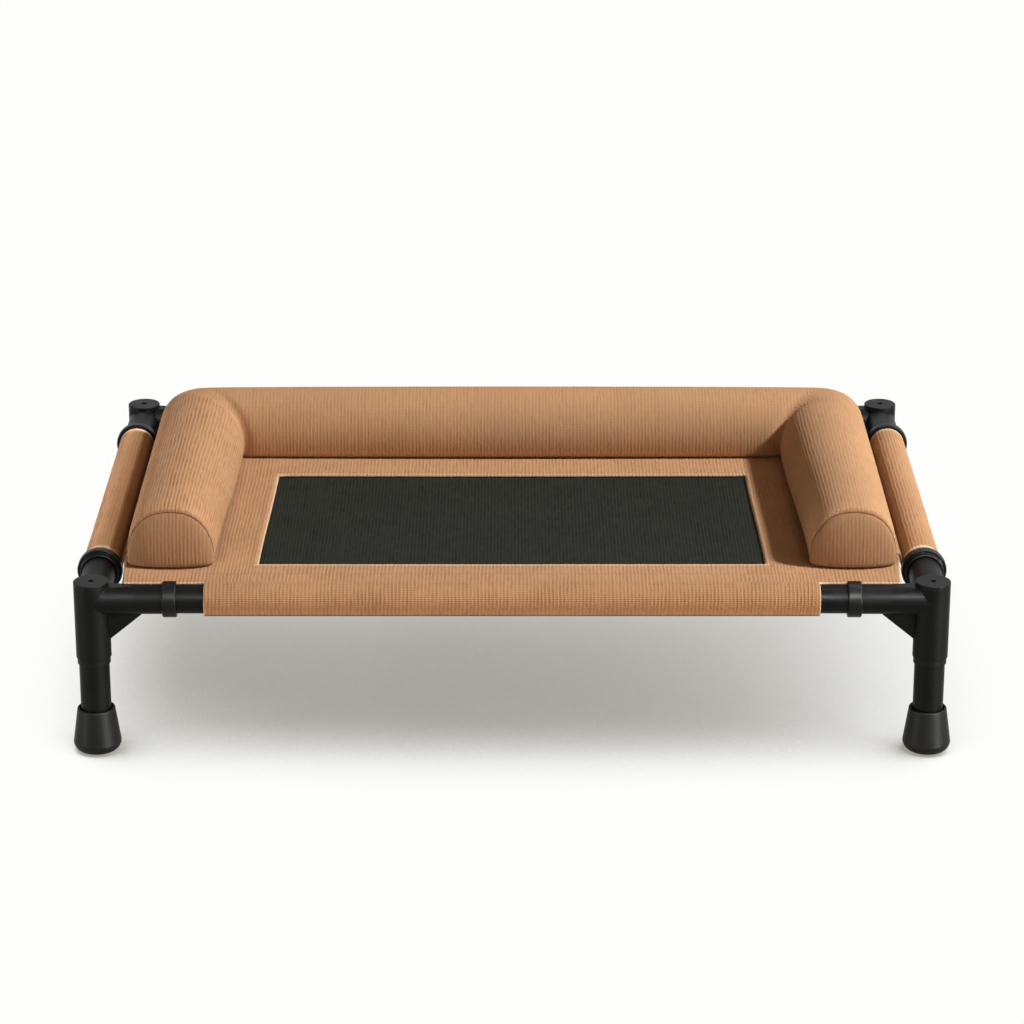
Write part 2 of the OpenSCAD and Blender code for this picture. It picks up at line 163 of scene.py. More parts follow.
def area_lamp(name, place, facing, size, power, shape="RECTANGLE", colour="FFFFFF"):
    """A lamp that the camera doesn't see, in metres and watts."""
    lamp = put_in_scene(name, bpy.data.lights.new(name, "AREA"))
    lamp.data.shape = shape
    lamp.data.size, lamp.data.size_y = size
    lamp.data.energy = power
    lamp.data.color = linear(colour)[:3]
    lamp.location = place
    lamp.rotation_euler = facing.to_track_quat("-Z", "Y").to_euler()
    lamp.visible_camera = False
    return lamp


world = bpy.data.worlds.new("studio")
scene.world = world
world.use_nodes = True
room = world.node_tree
room.nodes.clear()
fill = add(room, "ShaderNodeBackground", {"Color": linear("FFD2A2"), "Strength": 0.19})
white = add(room, "ShaderNodeBackground", {"Color": (1, 1, 1, 1), "Strength": 1.0})
both = add(room, "ShaderNodeMixShader", {0: seen_directly(room), 1: fill.outputs[0], 2: white.outputs[0]})
add(room, "ShaderNodeOutputWorld", {"Surface": both.outputs[0]})

towards_lamp = Vector((1.05, -0.24, 1.0)).normalized()
lamp_place = Vector((0, 0, 0.19)) + 8 * towards_lamp
area_lamp("key_lamp", lamp_place, -towards_lamp, (0.84, 0.84), 745, shape="DISK", colour="FFFAF4")
print("key lamp is", round(math.degrees(math.asin(towards_lamp.z))), "degrees above the deck")

# %% Card and gridded lamp on the left
card_place = Vector((-1.7, -0.2, 0.17))
left_side = Vector((-0.45, 0, 0.17))
card = area_lamp("card_left", card_place, left_side - card_place, size=(1.2, 0.16), power=9)
card.visible_glossy = False
print("the low card is", round(-card.location.x, 2), "m left of the middle")

# A grid before a lamp lets only nearly parallel light through, so it falls as a band with clear edges.
beam_angle = math.radians(105)
beam_length, beam_width = 0.396, 0.0355
beam_distance, beam_shift = 0.3, 0.0043
left_rail_axis = Vector((-0.439, 0, 0.1705))
towards_grid = Vector((math.cos(beam_angle), 0, math.sin(beam_angle)))
beam_side = Vector((towards_grid.z, 0, -towards_grid.x))
grid_place = left_rail_axis - beam_shift * beam_side + beam_distance * towards_grid
grid_lamp = area_lamp("grid_left", grid_place, -towards_grid, size=(beam_length, beam_width), power=0.022,
                      colour="FFFAF0")
grid_lamp.data.spread = math.radians(1.0)
grid_lamp.visible_glossy = False
print("the gridded lamp lights a band", round(beam_width / MM), "mm wide")

# %% Strip lamps for the black tubes
# Each lamp's place, the point it faces, its length and width, and its power.
strips = {"strip_front": ((0.5, -2.5, 2.0), (0, -0.29, 0.17), (1.8, 0.3), 220),
          "strip_above": ((1.0, 0.2, 1.7), (0.35, -0.2, 0.17), (1.0, 0.25), 20),
          "strip_left": ((-2.5, -1.6, 0.45), (0, -0.3, 0.1), (0.6, 0.9), 55),
          "strip_right": ((3.8, -3.1, 0.8), (0, -0.3, 0.1), (0.5, 1.6), 560)}
for name, (place, target, size, power) in strips.items():
    strip = area_lamp(name, place, Vector(target) - Vector(place), size, power)
    strip.visible_diffuse = False
print("strip lamps:", len(strips))

# %% Paper floor
FLOOR_HALF = 30
FLOOR_DROP = 0.0003
SHADE_REACH = 0.6
paper, tree, shader = finish_named("white_paper", Base_Color=linear("F0DEC8"), Roughness=0.9)
# How open the paper is straight up sets where the shade ends, and how open it is to the right and the back
# sets how deep it is. Each row gives a direction, and how open the paper is in full shade and out of it.
shades = []
for towards, shut, clear in (((0, 0, 1), 0.25, 0.75), ((0.68, 0.68, 0.26), 0.45, 1.1)):
    side = add(tree, "ShaderNodeCombineXYZ", dict(enumerate(towards)))
    sky = add(tree, "ShaderNodeAmbientOcclusion", {"Distance": SHADE_REACH, "Normal": side.outputs[0]},
              samples=16)
    shades.append(remap(tree, sky.outputs["AO"], (shut, clear), (0.0, 1.0), "SMOOTHSTEP"))
tone = between(tree, calc(tree, "MAXIMUM", *shades), linear("9B988E"), linear("FEFEFD"))
# The camera and mirrors see the paper as a glow in this painted shadow; only other rays see it lit.
glow = add(tree, "ShaderNodeEmission", {"Color": tone, "Strength": 1.0})
mixed = add(tree, "ShaderNodeMixShader", {0: seen_directly(tree), 1: shader.outputs[0], 2: glow.outputs[0]})
tree.links.new(mixed.outputs[0], next(n for n in tree.nodes if n.type == "OUTPUT_MATERIAL").inputs["Surface"])

floor = put_in_scene("floor", bpy.data.meshes.new("floor"))
corners = [(FLOOR_HALF * x, FLOOR_HALF * y, -FLOOR_DROP) for x, y in ((-1, -1), (1, -1), (1, 1), (-1, 1))]
floor.data.from_pydata(corners, [], [(0, 1, 2, 3)])
floor.data.materials.append(paper)
print("floor is", round(floor.dimensions.x), "m across")

# %% [markdown]
# ## Black finishes of the frame
#
# The fittings are moulded in black nylon with a fine spark-eroded grain. The tubes are powder-coated steel,
# whose skin has the low bumps called orange peel. Both are nearly black and satin, so what the eye reads is
# the soft light along their upper sides and the thin bright line on each rounded edge. The Bevel node
# rounds the edges for the light without touching the CAD mesh.

# %% Moulded nylon for fittings, caps and collars
PATCH_MM = 35


def black_finish(name, dark, pale, rough, depth_mm, specular, grain_mm=1.6, edge_mm=0.9):
    """A satin black: two close tones in slow patches, a fine grain in relief and edges that catch light."""
    material, tree, shader = finish_named(name, Roughness=rough, Specular_IOR_Level=specular)
    place = add(tree, "ShaderNodeTexCoord").outputs["Object"]
    patch = noise(tree, place, 1 / (PATCH_MM * MM), 4)
    grain = noise(tree, place, 1 / (grain_mm * MM), 2)
    rounded = add(tree, "ShaderNodeBevel", {"Radius": edge_mm * MM}, samples=8).outputs[0]
    relief = add(tree, "ShaderNodeBump",
                 {"Strength": 1.0, "Distance": depth_mm * MM, "Height": grain, "Normal": rounded})
    tree.links.new(relief.outputs[0], shader.inputs["Normal"])
    # An edge, where the rounded surface turns away from the flat one, is coloured a little paler: partly
    # wear, partly a painted highlight.
    shape = add(tree, "ShaderNodeNewGeometry")
    turn = add(tree, "ShaderNodeVectorMath", {0: rounded, 1: shape.outputs["Normal"]},
               operation="DOT_PRODUCT")
    worn_and_highlit = remap(tree, turn.outputs["Value"], (0.985, 0.8), (0.0, 0.6))
    share = calc(tree, "ADD", patch, worn_and_highlit, clamp=True)
    tree.links.new(between(tree, share, linear(dark), linear(pale)), shader.inputs["Base Color"])
    dull = remap(tree, patch, (0.3, 0.7), (rough - 0.05, rough + 0.07))
    tree.links.new(dull, shader.inputs["Roughness"])
    return material


# Grain of 0.3 mm on the real moulding, drawn at 1.6 mm because a pixel of the picture is about 1 mm.
moulded_nylon = black_finish("moulded_black_nylon", dark="050505", pale="0D0D0C", rough=0.45, depth_mm=0.05,
                             specular=0.08)
cap_nylon = black_finish("smooth_black_nylon", dark="060606", pale="0F0F0E", rough=0.42, depth_mm=0.03,
                         specular=0.085)
# The collars are polished on the lathe, so their rims show a thin glint.
collar_nylon = black_finish("polished_black_nylon", dark="060606", pale="0F0F0E", rough=0.36, depth_mm=0.02,
                            specular=0.13, edge_mm=1.2)
print(moulded_nylon.name, len(moulded_nylon.node_tree.nodes), "nodes")

# %% Powder coat, bush nylon, rubber and screw steel
# Orange peel has waves of 2 to 3 mm, so it is drawn at its real size.
powder_coat = black_finish("powder_coated_steel", dark="060606", pale="0E0E0D", rough=0.42, depth_mm=0.04,
                           specular=0.08, grain_mm=2.5, edge_mm=0.5)
# Turned nylon is smooth, so only its edges stand out.
bush_nylon = black_finish("turned_black_nylon", dark="080807", pale="101010", rough=0.45, depth_mm=0.02,
                          specular=0.09, edge_mm=0.5)
# Moulded rubber scatters light in a dull, slightly paler black, with dust in its skin.
foot_rubber = black_finish("moulded_rubber", dark="0A0A0A", pale="141413", rough=0.48, depth_mm=0.08,
                           specular=0.12, grain_mm=2.2, edge_mm=1.2)


def clouded_finish(name, dark, pale, cloud_mm, detail, **sockets):
    """A finish of two close tones in small clouds."""
    material, tree, shader = finish_named(name, **sockets)
    clouds = noise(tree, add(tree, "ShaderNodeTexCoord").outputs["Object"], 1 / (cloud_mm * MM), detail)
    tree.links.new(between(tree, clouds, linear(dark), linear(pale)), shader.inputs["Base Color"])
    return material


# Black oxide is a thin film on bare steel: it still reflects as a metal, in dark grey clouds.
screw_steel = clouded_finish("black_oxide_steel", dark="2B2A28", pale="4A4845", cloud_mm=1.5, detail=3,
                             Metallic=1.0, Roughness=0.38)
print("black finishes:", powder_coat.name, bush_nylon.name, foot_rubber.name, screw_steel.name)

# %% Dress the CAD nodes
# The first word found in a node's name gives its finish. The sewn nodes have none.
finish_of = {"corner_fitting": moulded_nylon, "post_cap": cap_nylon, "guide_bush": bush_nylon,
             "leg_tube": powder_coat, "leg_glide": bush_nylon, "rubber_foot": foot_rubber,
             "screws": screw_steel, "collar": collar_nylon, "_rail": powder_coat}
dressed = 0
for name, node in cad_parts.items():
    finish = next((f for word, f in finish_of.items() if word in name), None)
    if finish:
        node.data.materials.clear()
        node.data.materials.append(finish)
        dressed += 1
print("dressed", dressed, "rigid nodes of", len(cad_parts))

# %% [markdown]
# ## Tan cloth
#
# The cover is a slubby woven polyester: thick uneven warp yarns about 4 mm apart stand up as ribs, with
# finer weft yarns across them. A picture texture would stretch over the rolls. Instead each cloth piece
# carries a UV map in metres that follows its own yarns, and the weave is worked out from it: narrow crests
# on its ribs and its weft yarns, bent by slow noise, with streaks where a yarn thickens and patches where
# the gaps close up. Four marks on the cloth's points set a painted highlight on its hems, how much weft
# shows, a painted shade, and how deep the gaps between the ribs are drawn.

# %% A woven finish
# How long a thick place in a yarn is, and how wide the patches of closed gaps and of uneven dye are.
SLUB_MM, CLOSED_MM, DYE_MM = 20, 40, 90
# Dark brown that painted shade darkens the cloth towards.
PAINTED_SHADE_TONE = "3A1F0D"


def mark(tree, name):
    """One of the marks on the cloth's points, from 0 to 1 or a little over."""
    return add(tree, "ShaderNodeAttribute", attribute_name=name).outputs["Fac"]


def yarn_gaps(tree, cloth, rib_mm, weft_mm, wander_mm):
    """How deep a point lies between two ribs, and between two weft yarns, from 0 to 1."""
    spots = add(tree, "ShaderNodeMapping", {"Vector": cloth, "Scale": (40, 18, 1)})
    drift = calc(tree, "ADD", noise(tree, spots.outputs[0], 1.0, 5, rough=0.68), -0.5)
    axes = add(tree, "ShaderNodeSeparateXYZ", {0: cloth})
    gaps = []
    for axis, pitch, wander, sharp in ((0, rib_mm, wander_mm, 1.5), (1, weft_mm, wander_mm * 0.5, 1.2)):
        bent = calc(tree, "MULTIPLY_ADD", drift, wander * MM, axes.outputs[axis])
        wave = calc(tree, "SINE", calc(tree, "MULTIPLY", bent, 2 * math.pi / (pitch * MM)))
        crest = calc(tree, "POWER", calc(tree, "MULTIPLY_ADD", wave, 0.5, 0.5), sharp)
        gaps.append(calc(tree, "SUBTRACT", 1.0, crest))
    return gaps


def woven(name, gap, yarn, hem, rib_mm, weft_mm, wander_mm, depth_mm, crossed, gloss, sheen):
    """A ribbed weave on the UV map named cloth, whose first axis runs across the ribs, in metres."""
    material, tree, shader = finish_named(name, Roughness=0.88, Specular_IOR_Level=gloss, Sheen_Weight=sheen,
                                          Sheen_Roughness=0.5)
    cloth = add(tree, "ShaderNodeUVMap", uv_map="cloth").outputs[0]
    rib, weft = yarn_gaps(tree, cloth, rib_mm, weft_mm, wander_mm)
    # A yarn thickens and thins along its length, and its neighbour does so elsewhere.
    along = add(tree, "ShaderNodeMapping",
                {"Vector": cloth, "Scale": (0.7 / (rib_mm * MM), 1 / (SLUB_MM * MM), 1)})
    slub = noise(tree, along.outputs[0], 1.0, 3, rough=0.6)
    # The gaps close up in patches a few centimetres wide.
    closed = noise(tree, cloth, 1 / (CLOSED_MM * MM), 3)
    rib = calc(tree, "MULTIPLY", rib, remap(tree, closed, (0.36, 0.64), (0.55, 1.0)))
    rib = calc(tree, "MULTIPLY", rib, remap(tree, slub, (0.3, 0.7), (1.2, 0.5)))
    # The rib mark sets how deep and dark the gaps between the ribs are drawn on each piece.
    rib = calc(tree, "MULTIPLY", rib, mark(tree, "rib"))
    # Where the cloth is led over a roll or a rail across its ribs, the weft opens and shows.
    weft = calc(tree, "MULTIPLY", weft, remap(tree, mark(tree, "cross"), (0.0, 1.0), (0.07, crossed)))
    raised = calc(tree, "SUBTRACT", calc(tree, "MULTIPLY_ADD", rib, -0.62, 0.92), weft, clamp=True)
    streak = calc(tree, "MULTIPLY_ADD", slub, 0.5, -0.25)
    raised = calc(tree, "ADD", raised, streak, clamp=True)
    tone = between(tree, raised, linear(gap), linear(yarn))
    # Painted highlight: a hem's rounded edge is coloured paler, where it would catch the light.
    tone = between(tree, mark(tree, "hem"), tone, linear(hem))
    # Painted shade: the colour darkens towards dark brown where the cloth lies in shade.
    tone = between(tree, mark(tree, "painted_shade"), tone, linear(PAINTED_SHADE_TONE))
    # The dye takes a little unevenly over patches of a hand's width.
    dye = remap(tree, noise(tree, cloth, 1 / (DYE_MM * MM), 2), (0.3, 0.7), (0.95, 1.05))
    dyed = add(tree, "ShaderNodeVectorMath", {0: tone, "Scale": dye}, operation="SCALE")
    tree.links.new(dyed.outputs[0], shader.inputs["Base Color"])
    relief = add(tree, "ShaderNodeBump", {"Strength": 1.0, "Distance": depth_mm * MM, "Height": raised})
    tree.links.new(relief.outputs[0], shader.inputs["Normal"])
    return material


# Matt staple yarn: the eye reads the ribs by their shaded gaps and sees hardly any gloss.
tan_cloth = woven("slub_woven_polyester", gap="AC825E", yarn="C59E7B", hem="EFD6BA", rib_mm=3.9, weft_mm=2.3,
                  wander_mm=4.2, depth_mm=0.55, crossed=0.32, gloss=0.04, sheen=0.05)
# The window is an open knit of black-green monofilament that shows as fine dark ribs.
dark_mesh = woven("ribbed_black_mesh", gap="121411", yarn="2C302B", hem="2C302B", rib_mm=3.7, weft_mm=2.4,
                  wander_mm=2.0, depth_mm=0.4, crossed=0.2, gloss=0.05, sheen=0.0)
print("woven finishes:", tan_cloth.name, dark_mesh.name)

# %% [markdown]
# ## Sizes shared by the sewn pieces
#
# The cloth has to sit on the rails of the CAD frame, so its sizes are repeated here from the part's source,
# in millimetres.

# %% Sizes in millimetres
HALF_X, HALF_Y, RAIL_Z = 439.0, 287.0, 170.5
DECK_TOP, CLOTH = 188.25, 2.2
LONG_SLEEVE_R, SIDE_SLEEVE_R = 17.75, 20.0
LONG_SLEEVE_END, SIDE_SLEEVE_END = 321.0, 197.8
FLAP_X, FLAP_Y = 407.0, 283.0
WINDOW_X, WINDOW_FRONT, WINDOW_BACK = 263.0, -231.0, 45.0
# Two places closer than this count as the same.
TOUCH = 0.1


# %% Helpers for laying out cloth
def spread(stops, step):
    """Positions about a step apart that pass through every stop."""
    stops = sorted(stops)
    line = [stops[0]]
    for a, b in zip(stops, stops[1:]):
        count = max(1, math.ceil((b - a) / step - 1e-6))
        line += [a + (b - a) * i / count for i in range(1, count + 1)]
    return line


def ease(value, start, end):
    """A smooth step from 0 at start to 1 at end."""
    t = min(1.0, max(0.0, (value - start) / (end - start)))
    return t * t * (3 - 2 * t)


class Cloth:
    """Points and faces of one sewn piece in millimetres, with its yarn map and four marks on its points."""

    def __init__(self):
        self.points, self.flat, self.faces, self.marks = [], [], [], []

    # Each point carries a painted hem highlight, its weft, a painted shade and its rib depth.
    def put(self, place, yarn=(0, 0), hem=0.0, cross=0.0, painted_shade=0.0, rib=1.0):
        """Adds one point and gives its number."""
        self.points.append(place)
        self.flat.append(yarn)
        self.marks.append((hem, cross, painted_shade, rib))
        return len(self.points) - 1

    def face(self, *corners, yarn=None):
        """Adds one face, with its own yarn map or that of its points."""
        self.faces.append((corners, yarn or [self.flat[c] for c in corners]))

    def fill(self, spot, columns, rows, keep=lambda x, y: True):
        """Fills a grid of points with faces, where keep says yes to a face's middle."""
        for i in range(len(columns) - 1):
            for j in range(len(rows) - 1):
                if keep((columns[i] + columns[i + 1]) / 2, (rows[j] + rows[j + 1]) / 2):
                    self.face(spot[i, j], spot[i + 1, j], spot[i + 1, j + 1], spot[i, j + 1])

    def piece(self, name, finish):
        """Makes the Blender object, in metres."""
        mesh = bpy.data.meshes.new(name)
        mesh.from_pydata([tuple(c * MM for c in p) for p in self.points], [], [f for f, _ in self.faces])
        mesh.update()
        yarns = mesh.uv_layers.new(name="cloth")
        yarns.data.foreach_set("uv", [c * MM for _, yarn in self.faces for spot in yarn for c in spot])
        for label, values in zip(("hem", "cross", "painted_shade", "rib"), zip(*self.marks)):
            mesh.attributes.new(label, "FLOAT", "POINT").data.foreach_set("value", values)
        mesh.materials.append(finish)
        mesh.shade_smooth()
        return put_in_scene(name, mesh)


def thicken(piece, name, thickness):
    """Gives a sheet its thickness, downwards from the face that was laid out."""
    wall = piece.modifiers.new(name, "SOLIDIFY")
    wall.thickness = thickness * MM
    wall.offset = -1


print("deck grid positions look like", [round(v, 1) for v in spread([0, 25, 40], 11)])

# %% [markdown]
# ## Deck cloth with its four sleeves
#
# The deck is one cloth: cut corners, a window, and a flap on each side that goes round a rail and is sewn
# back under the deck. Five separate plates and tubes would show joins that the real cloth doesn't have. So
# one grid of faces is laid out flat, its four flaps are led round the rails, and Solidify gives it a
# cloth's thickness. Along the side rails the deck is sewn to the sleeve's inner side, which leaves a furrow
# between sleeve and bolster.

# %% Shape of the deck
# The middle hangs a little, and the edges of the cut corners droop to lie on the bare rails.
DECK_SAG, CORNER_DROOP, DROOP_X, DROOP_Y = 1.0, 1.1, 8, 16
# The window's hem rises to a crest and then drops to its edge. It was cut wider at the front.
HEM_CREST, HEM_WIDTH = 2.5, 7.0
HEM_RISE, HEM_DROP = 0.7, 1.5
WINDOW_FLARE, FLARE_REACH = 4.5, 55.0
# Each cut corner is left wider beside the collar, with rounded ends.
CORNER_FLARE, CORNER_REACH, CORNER_ROUND = 4.0, 22.0, 10.0


def from_window(x, y):
    """Distance outside the window's edge, negative inside it."""
    return max(abs(x) - WINDOW_X, WINDOW_FRONT - y, y - WINDOW_BACK)


def deck_point(x, y):
    """Where a point of the flat cloth lies."""
    sag = DECK_SAG * (1 - (x / FLAP_X) ** 2) * (1 - (y / FLAP_Y) ** 2)
    at_edge = ease(abs(y), FLAP_Y - DROOP_Y, FLAP_Y)
    droop = CORNER_DROOP * at_edge * ease(abs(x), LONG_SLEEVE_END - DROOP_X, LONG_SLEEVE_END)
    away = from_window(x, y)
    rolled = HEM_RISE * ease(away, HEM_WIDTH, HEM_CREST) - HEM_DROP * ease(away, HEM_CREST, 0)
    beside = max(0.0, 1 - abs(abs(x) - WINDOW_X) / FLARE_REACH)
    wider = WINDOW_FLARE * ease(y, WINDOW_BACK, WINDOW_FRONT) * beside
    past = abs(y) - SIDE_SLEEVE_END
    tongue = ease(past, 0, CORNER_ROUND) * ease(past, FLAP_Y - SIDE_SLEEVE_END, CORNER_ROUND)
    wider += CORNER_FLARE * ease(abs(x), FLAP_X - CORNER_REACH, FLAP_X) * tongue
    return (x + math.copysign(wider, x), y, DECK_TOP - sag - droop + rolled)


print("behind the window the deck hangs", round(DECK_TOP - deck_point(0, WINDOW_BACK + 20)[2], 2), "mm")

# %% Deck grid
GRID_STEP = 11
# Extra lines of the grid: near each cut edge, and where the hem of a side sleeve starts and ends.
CUT_EDGE, LONG_HEM = 2.5, 1.5
BACK_HEM, FRONT_HEM = (3.5, 7.0), (15.0, 18.0)
hem_lines = (0, HEM_CREST, HEM_WIDTH)
half_columns = [FLAP_X, FLAP_X - CUT_EDGE, LONG_SLEEVE_END, LONG_SLEEVE_END - LONG_HEM]
half_columns += [WINDOW_X + out for out in hem_lines]
half_rows = [FLAP_Y, FLAP_Y - CUT_EDGE, SIDE_SLEEVE_END] + [SIDE_SLEEVE_END - inside for inside in BACK_HEM]
window_rows = [WINDOW_FRONT - out for out in hem_lines] + [WINDOW_BACK + out for out in hem_lines]
front_hem_rows = [inside - SIDE_SLEEVE_END for inside in FRONT_HEM]
columns = spread([side * x for side in (-1, 1) for x in half_columns], GRID_STEP)
rows = spread([side * y for side in (-1, 1) for y in half_rows] + window_rows + front_hem_rows, GRID_STEP)
print("deck grid:", len(columns), "columns,", len(rows), "rows")

# %% Marks on the deck, and its faces
# Painted highlight on the window's hem: how pale it is at its sides, front and back, and where it turns pale.
SIDE_PALE, FRONT_PALE, BACK_PALE = 0.6, 0.75, 0.3
NARROW, BROAD = (3.2, 0.5), (HEM_WIDTH, 1)
# Painted shade beside the arms of the bolster: light, and deeper right at each arm.
BESIDE_SHADE, BESIDE_X, BESIDE_Y = 0.1, (WINDOW_X, WINDOW_X + 25), (-225, -180)
LEFT_SHADE, RIGHT_SHADE, AT_ARM_X, AT_ARM_Y = 0.35, 0.62, (292, 316), (-240, -215)
# The weft opens where the deck nears a long rail.
EDGE_CROSS, CROSS_RUN = 0.6, 12


def hem_highlight(x, y):
    """How pale a folded edge is painted as a highlight, at a cut corner or at the window."""
    if abs(y) > FLAP_Y - TOUCH and abs(x) > LONG_SLEEVE_END - TOUCH:
        return 1.0
    if abs(x) > FLAP_X - TOUCH and abs(y) > SIDE_SLEEVE_END - TOUCH:
        return 1.0
    away = from_window(x, y)
    if abs(x) - WINDOW_X > max(WINDOW_FRONT - y, y - WINDOW_BACK):
        return SIDE_PALE * ease(away, *NARROW)
    return ease(away, *BROAD) * (FRONT_PALE if y < 0 else BACK_PALE)


def painted_arm_shade(x, y):
    """How much painted shade the deck gets beside the arms of the bolster."""
    beside = BESIDE_SHADE * ease(abs(x), *BESIDE_X) * ease(y, *BESIDE_Y)
    at_arm = (RIGHT_SHADE if x > 0 else LEFT_SHADE) * ease(abs(x), *AT_ARM_X) * ease(y, *AT_ARM_Y)
    return max(beside, at_arm)


deck = Cloth()
spot = {}
for i, x in enumerate(columns):
    for j, y in enumerate(rows):
        if from_window(x, y) > -TOUCH:
            crossed = EDGE_CROSS * ease(abs(y), FLAP_Y - CROSS_RUN, FLAP_Y)
            spot[i, j] = deck.put(deck_point(x, y), (x, y), hem_highlight(x, y), crossed, painted_arm_shade(x, y))
deck.fill(spot, columns, rows, lambda x, y: from_window(x, y) > 0)
print("deck:", len(deck.points), "points,", len(deck.faces), "faces")

# %% Ways round the rails
# A way is a row of points, each a distance from the cot's middle and a height.
WRAP_END, WRAP_POINTS = 262, 52
SIDE_START = 84
SEAM_HEIGHT = DECK_TOP - 2 * CLOTH - 0.4
# The furrow between a side sleeve and the bolster, by its drop below the deck.
furrow_drops = ((411.5, 0.4), (414.2, 1.6), (415.6, 4.5), (416.2, 9), (417, 14))
furrow = [(x, DECK_TOP - drop) for x, drop in furrow_drops]


def round_rail(axis, radius, start):
    """Round a rail, from a number of degrees before its top to the far side."""
    angles = [math.radians(b) for b in np.linspace(-start, WRAP_END, WRAP_POINTS)]
    return [(axis + radius * math.sin(a), RAIL_Z + radius * math.cos(a)) for a in angles]


inner = HALF_Y - LONG_SLEEVE_R
long_way = round_rail(HALF_Y, LONG_SLEEVE_R, 0)
long_way += [(inner - 1.2, RAIL_Z + 6), (inner - 4.5, SEAM_HEIGHT - 2.2), (inner - 9, SEAM_HEIGHT),
             (inner - 18, SEAM_HEIGHT)]
side_way = furrow + round_rail(HALF_X, SIDE_SLEEVE_R, SIDE_START)
side_way += [(HALF_X - SIDE_SLEEVE_R - 0.4, RAIL_Z + 2.5)]
print("points on the long and side ways:", len(long_way), len(side_way))

# %% Flaps led round the rails
# Painted highlight on the hems at the ends of the side sleeves.
SLEEVE_PALE = 0.9
# Painted shade under a long sleeve, by its drop below the axis, and in the furrow, by its two sides.
UNDER_SHADE, UNDER_START, UNDER_END = 0.7, 11, 15
FURROW_SHADE, FURROW_SLEEVE, FURROW_DECK = 0.45, (426, 417.5), (411, 415)


def long_place(side, here, x, length):
    """A point of a long flap, and its spot on the flat cloth."""
    return (x, side * here[0], here[1]), (x, side * (FLAP_Y + length))


def side_place(side, here, y, length):
    """A point of a side flap, and its spot on the flat cloth."""
    return (side * here[0], y, here[1]), (side * (FLAP_X + length), y)


def long_hem(x):
    """The painted highlight on the hem at each end of a long sleeve is a thread's width."""
    return 1.0 if abs(x) > LONG_SLEEVE_END - TOUCH else 0.0


def side_hem(y):
    """The painted highlight on the hem at each end of a side sleeve is wider at the front."""
    if y < 0:
        return SLEEVE_PALE * ease(y, FRONT_HEM[1] - SIDE_SLEEVE_END, FRONT_HEM[0] - SIDE_SLEEVE_END)
    return SLEEVE_PALE * ease(y, SIDE_SLEEVE_END - BACK_HEM[1], SIDE_SLEEVE_END - BACK_HEM[0])


def painted_under_shade(here):
    """Painted shade on the underside of a long sleeve."""
    return UNDER_SHADE * ease(here[1], RAIL_Z - UNDER_START, RAIL_Z - UNDER_END)


def painted_furrow_shade(here):
    """Painted shade in the furrow beside a side sleeve."""
    if here[1] <= RAIL_Z:
        return 0.0
    return FURROW_SHADE * ease(here[0], *FURROW_SLEEVE) * ease(here[0], *FURROW_DECK)


def lead_flap(side, way, start, edge, positions, place, hem, shade_at, cross, rib):
    """Hangs a flap on a line of deck points and leads it along a way. The furrow has no hem."""
    last, before, length = edge, (start, DECK_TOP), 0.0
    for here in way:
        length += math.dist(here, before)
        hemmed = 0.0 if here in furrow else 1.0
        ids = [deck.put(*place(side, here, at, length), hemmed * hem(at), cross, shade_at(here), rib)
               for at in positions]
        for n in range(len(ids) - 1):
            deck.face(last[n], ids[n], ids[n + 1], last[n + 1])
        last, before = ids, here


for side in (-1, 1):
    # The points are taken in the order that turns the faces outwards.
    held = [i for i, x in enumerate(columns) if abs(x) < LONG_SLEEVE_END + TOUCH][::-side]
    edge_row = 0 if side < 0 else len(rows) - 1
    lead_flap(side, long_way, FLAP_Y, [spot[i, edge_row] for i in held], [columns[i] for i in held],
              long_place, long_hem, painted_under_shade, cross=1.0, rib=1.2)
    held = [j for j, y in enumerate(rows) if abs(y) < SIDE_SLEEVE_END + TOUCH][::side]
    edge_column = 0 if side < 0 else len(columns) - 1
    lead_flap(side, side_way, FLAP_X, [spot[edge_column, j] for j in held], [rows[j] for j in held],
              side_place, side_hem, painted_furrow_shade, cross=0.0, rib=0.8)

deck_cover = deck.piece("deck_cover", tan_cloth)
thicken(deck_cover, "cloth thickness", CLOTH)
print("deck cover:", len(deck_cover.data.polygons), "faces before its thickness")

# %% [markdown]
# ## Mesh window
#
# A dark ventilated panel is sewn under the window. It lies a little more than a cloth's thickness lower
# than the deck and sags very slightly in the middle, which a flat plate would not show in the light.

# %% Mesh panel
MESH_HALF_X, MESH_HEM, MESH_STEP = 275, 9, 12
MESH_DROP, MESH_SAG, MESH_THICK = 3.4, 2.0, 0.9
window_middle = (WINDOW_FRONT + WINDOW_BACK) / 2
# The sag ends a millimetre outside the panel's edge.
sag_x, sag_y = MESH_HALF_X + 1, WINDOW_BACK - window_middle + MESH_HEM + 1
panel = Cloth()
panel_columns = spread([-MESH_HALF_X, MESH_HALF_X], MESH_STEP)
panel_rows = spread([WINDOW_FRONT - MESH_HEM, WINDOW_BACK + MESH_HEM], MESH_STEP)
panel_spot = {}
for i, x in enumerate(panel_columns):
    for j, y in enumerate(panel_rows):
        sag = MESH_SAG * (1 - (x / sag_x) ** 2) * (1 - ((y - window_middle) / sag_y) ** 2)
        panel_spot[i, j] = panel.put((x, y, DECK_TOP - MESH_DROP - sag), (x, y))
panel.fill(panel_spot, panel_columns, panel_rows)
mesh_window = panel.piece("mesh_window", dark_mesh)
thicken(mesh_window, "mesh thickness", MESH_THICK)
print("mesh window:", len(mesh_window.data.polygons), "faces")

